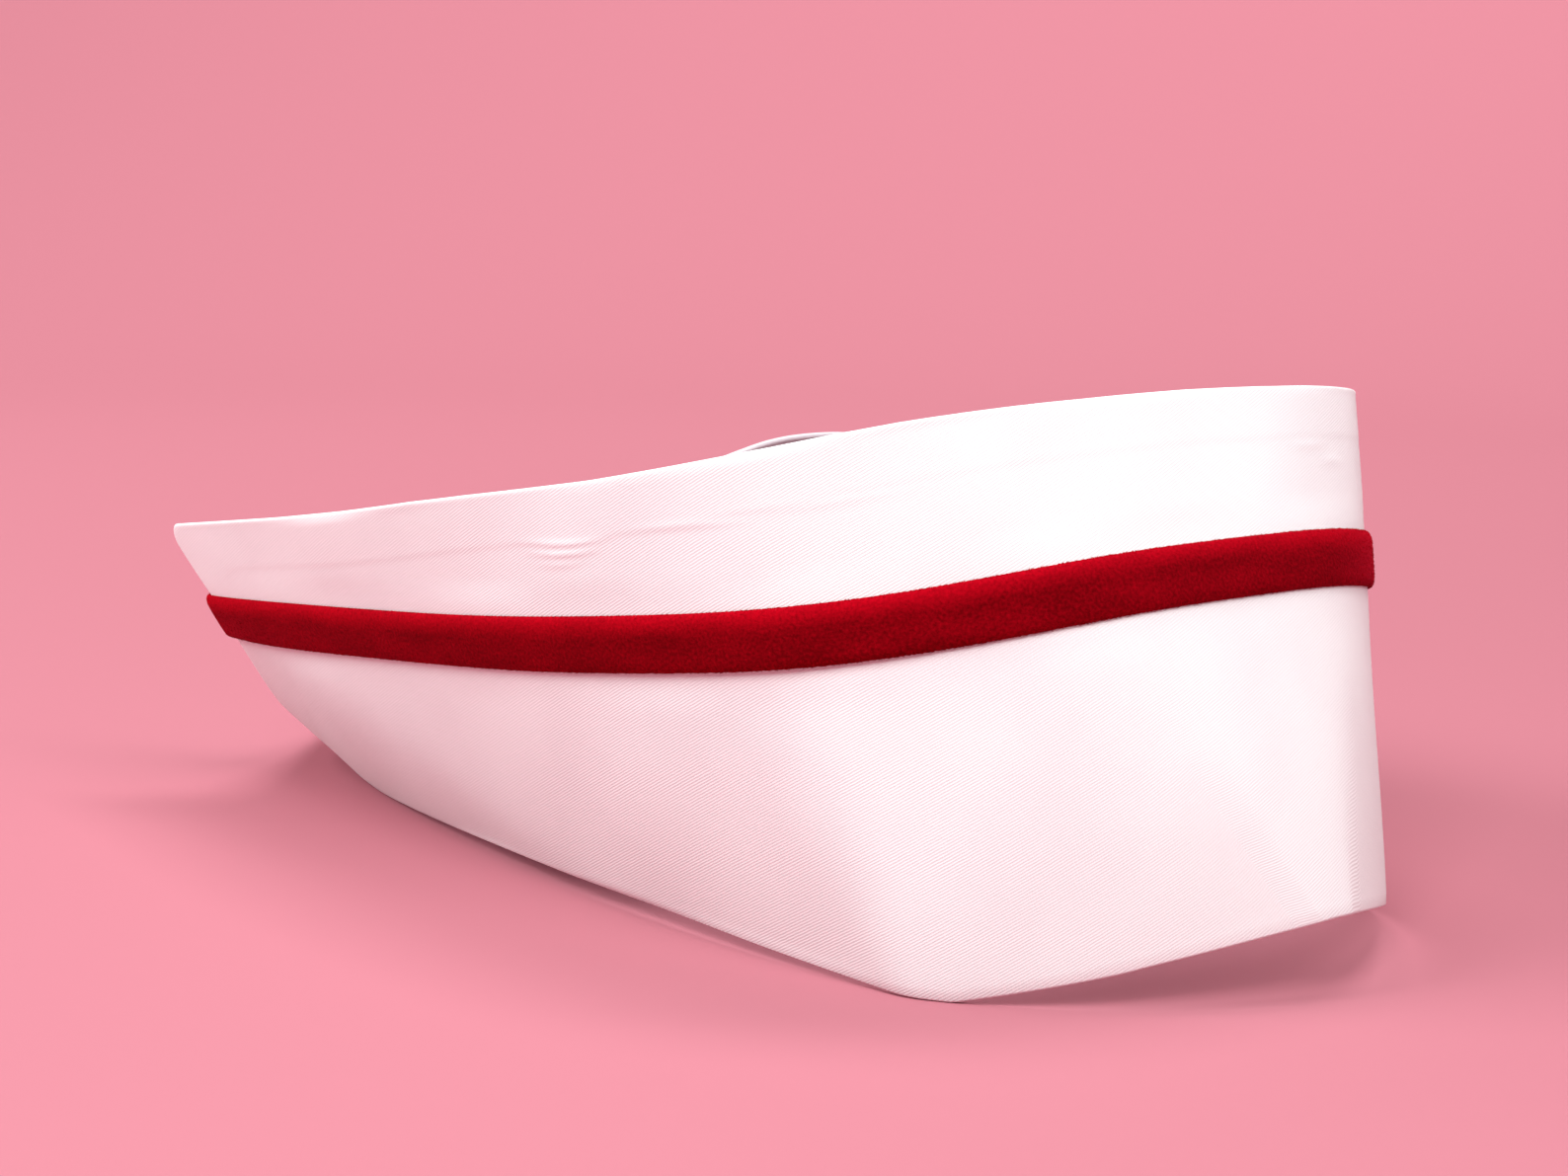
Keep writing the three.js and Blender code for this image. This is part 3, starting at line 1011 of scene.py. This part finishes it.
# %% Pile tufts
def scatter_tufts(rng):
    """Three root points round (run, y) and one tip of each tuft, as arrays of run, y and lift. By the
    ribbon's edges the tips splay outwards and are shorter."""
    run = rng.uniform(0, WING_END + RIBBON_GAP + RIBBON_TURN, TUFTS)
    v = np.sin(rng.uniform(-1, 1, TUFTS) * math.pi / 2)
    y = (RIBBON_WIDTH / 2 - TUFT_INSET) * v
    lift = pile_lift(v) - TUFT_ROOT
    spin = rng.uniform(0, 2 * math.pi, TUFTS)
    angle = spin[:, None] + np.arange(3) * 2 * math.pi / 3
    out = np.sign(v) * np.abs(v) ** DOME_POWER
    tip_y = y + EDGE_SPLAY * out + rng.normal(0, TUFT_SPREAD, TUFTS) * TUFT_LENGTH
    tip_run = run + rng.normal(0, TUFT_SPREAD, TUFTS)
    length = TUFT_LENGTH * rng.uniform(*TUFT_LENGTHS, TUFTS) * (1 - EDGE_SHORTER * np.abs(out))
    runs = np.column_stack([run[:, None] + TUFT_WIDTH * np.cos(angle), tip_run])
    ys = np.column_stack([y[:, None] + TUFT_WIDTH * np.sin(angle), tip_y])
    lifts = np.column_stack([lift, lift, lift, lift + length])
    return runs, ys, lifts


def make_pile():
    """The tufts as one mesh, about half of them on the far side, where their faces turn round."""
    rng = np.random.default_rng(PILE_SEED)
    runs, ys, lifts = scatter_tufts(rng)
    points = on_ribbon(runs, ys, lifts)
    far = rng.random(TUFTS) < 0.5
    points[far] = mirrored(points[far])
    flat = np.stack([runs, ys], axis=-1)
    flat[far, :, 0] *= -1
    faces = TUFT_FACES[None] + 4 * np.arange(TUFTS)[:, None, None]
    faces[far] = faces[far][..., ::-1]
    uvs = {"flat": flat.reshape(-1, 2)}
    faces = faces.reshape(-1, 3)
    return new_piece("velvet_pile", points.reshape(-1, 3), faces, VELVET_TIPS_SHEEN, uvs, smooth=False)


velvet_pile = make_pile()

# %% [markdown]
# ## The cuff's flat area
# The cuff's area is worked out from its flat pattern.

# %% Sheets
AREA_STEPS = 2000


def pattern_area():
    """Area of the cuff's flat pattern in square metres, by the trapezium rule along the rulings."""
    s = np.linspace(0, REACH, AREA_STEPS)
    low, high = meet(s, lower_edge), upper_end(s)
    slope = np.gradient(lean(s), s)
    strip = (high - low) + slope * (high**2 - low**2) / 2
    return 2 * float(np.sum((strip[1:] + strip[:-1]) / 2 * np.diff(s))) * MM * MM


cuff_area = pattern_area()
print("the cuff's flat area is", round(cuff_area, 5), "square metres")

# %% [markdown]
# ## Floor and light
# A pale rose floor rises without a seam far away, so no horizon shows from any side. Soft boxes stand
# left and right of the camera, as in a small product studio, and a weaker one stands low at the left.
# A small one over the camera lifts the middle, one behind the cap draws its rims, and a large one lights
# the backdrop.

# %% Floor, in metres
FLOOR_RADIUS = 3.2
FLOOR_FLAT = 0.9
FLOOR_RISE = 2.4
FLOOR_CENTRE = 0.02
FLOOR_RINGS = 60
FLOOR_SPOKES = 128
FLOOR_FINISH = {
    "Base Color": (0.44, 0.15, 0.188, 1),
    "Roughness": 0.9,
    "Specular IOR Level": 0.1,
}


def add_floor():
    """A round floor: level to its flat radius, then z = rise (1 - cos) up to its rim, with one
    polygon at its centre."""
    share = np.linspace(0, 1, FLOOR_RINGS)[:, None]
    angle = np.linspace(0, 2 * math.pi, FLOOR_SPOKES, endpoint=False)[None]
    radius = FLOOR_CENTRE + (FLOOR_RADIUS - FLOOR_CENTRE) * share
    climb = np.clip((radius - FLOOR_FLAT) / (FLOOR_RADIUS - FLOOR_FLAT), 0, 1)
    z = FLOOR_RISE * (1 - np.cos(climb * math.pi / 2)) + 0 * angle
    points = np.stack([radius * np.cos(angle), radius * np.sin(angle), z], axis=-1).reshape(-1, 3)
    faces = ring_faces(FLOOR_RINGS, FLOOR_SPOKES).tolist() + [list(range(FLOOR_SPOKES))]
    material, _, shader = new_material("pale_rose_paper")
    set_sockets(shader, FLOOR_FINISH)
    new_object("floor", points, faces, material)


add_floor()
print("the floor reaches", FLOOR_RADIUS, "metres out")

# %% Lights
CAP_MIDDLE = (0, 0, 0.05)
LIGHT_COLUMNS = ("name", "place", "aim", "size", "power")
LIGHTS = (
    ("left", (-0.5, -0.9, 0.8), CAP_MIDDLE, 0.6, 14.0),
    ("low left", (-1.1, -0.4, 0.4), CAP_MIDDLE, 0.6, 2.5),
    ("right", (1.1, -0.2, 1.0), CAP_MIDDLE, 0.6, 10.5),
    ("front", (0.3, -0.32, 0.52), CAP_MIDDLE, 0.3, 3.0),
    ("back", (-0.9, 0.4, 0.9), CAP_MIDDLE, 0.6, 1.5),
    ("backdrop", (-0.4, 0.6, 2.2), (-1.6, 2.2, 0.6), 1.5, 92.0),
)
LIGHT_COLOUR = (0.94, 1, 0.99)
SKY_STRENGTH = 0.02


def add_light(name, place, aim, size, power):
    """A square area light, its size in metres and its power in watts, hidden from the camera."""
    data = bpy.data.lights.new(name, "AREA")
    data.size = size
    data.energy = power
    data.color = LIGHT_COLOUR
    light = bpy.data.objects.new(name, data)
    light.location = place
    light.visible_camera = False
    light.rotation_euler = (Vector(aim) - Vector(place)).to_track_quat("-Z", "Y").to_euler()
    bpy.context.scene.collection.objects.link(light)


def add_sky():
    """A weak even light from all round."""
    world = bpy.data.worlds.new("studio")
    world.use_nodes = True
    background = world.node_tree.nodes["Background"]
    background.inputs["Color"].default_value = (*LIGHT_COLOUR, 1)
    background.inputs["Strength"].default_value = SKY_STRENGTH
    bpy.context.scene.world = world


for row in LIGHTS:
    add_light(**dict(zip(LIGHT_COLUMNS, row)))
add_sky()
bpy.context.scene.view_settings.view_transform = "Standard"
print("there are", len(LIGHTS), "soft boxes")
